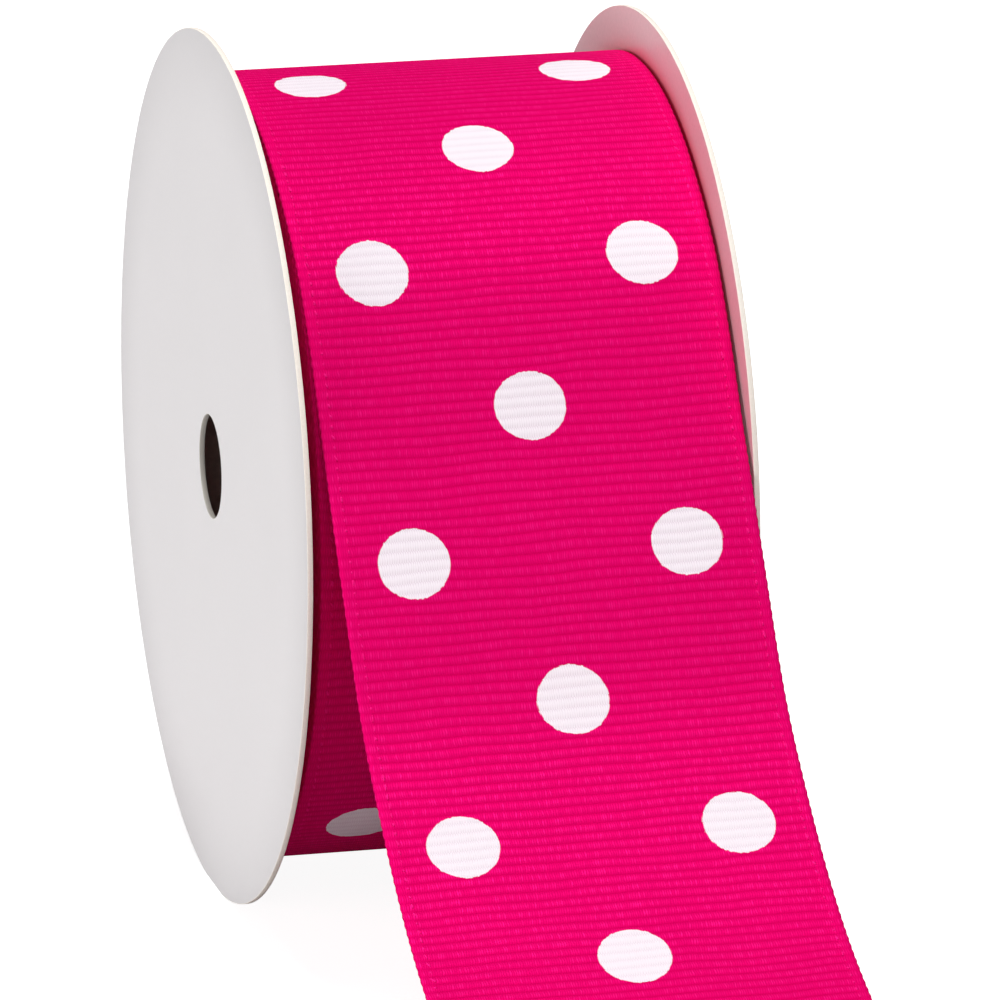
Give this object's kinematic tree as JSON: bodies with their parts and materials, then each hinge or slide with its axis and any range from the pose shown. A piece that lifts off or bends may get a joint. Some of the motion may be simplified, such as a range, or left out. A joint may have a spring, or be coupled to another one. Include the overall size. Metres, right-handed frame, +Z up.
{
  "type": "spool of grosgrain ribbon",
  "caption": "Wide ribbed ribbon with polka dots, wound between thin round flanges on a core tube, its loose end sweeping forward onto the surface.",
  "frame": {"origin": "middle of the bounding box's footprint, on the surface that the spool stands on", "axes": "+X along the axle from the left flange to the right one, +Y from the loose end's cut edge towards the back of the spool, +Z up"},
  "size_m": [0.041, 0.1788, 0.0798],
  "materials": {
    "flange": "smooth white coated card with a bare cut edge",
    "core": "rough uncoated greyish brown board",
    "ribbon": "ribbed grosgrain weave with a soft sheen and printed white dots"
  },
  "bodies": {
    "root": {"flange_left": "flange", "flange_right": "flange", "core": "core", "ribbon_roll": "ribbon", "ribbon_tail": "ribbon"}
  },
  "joints": []
}
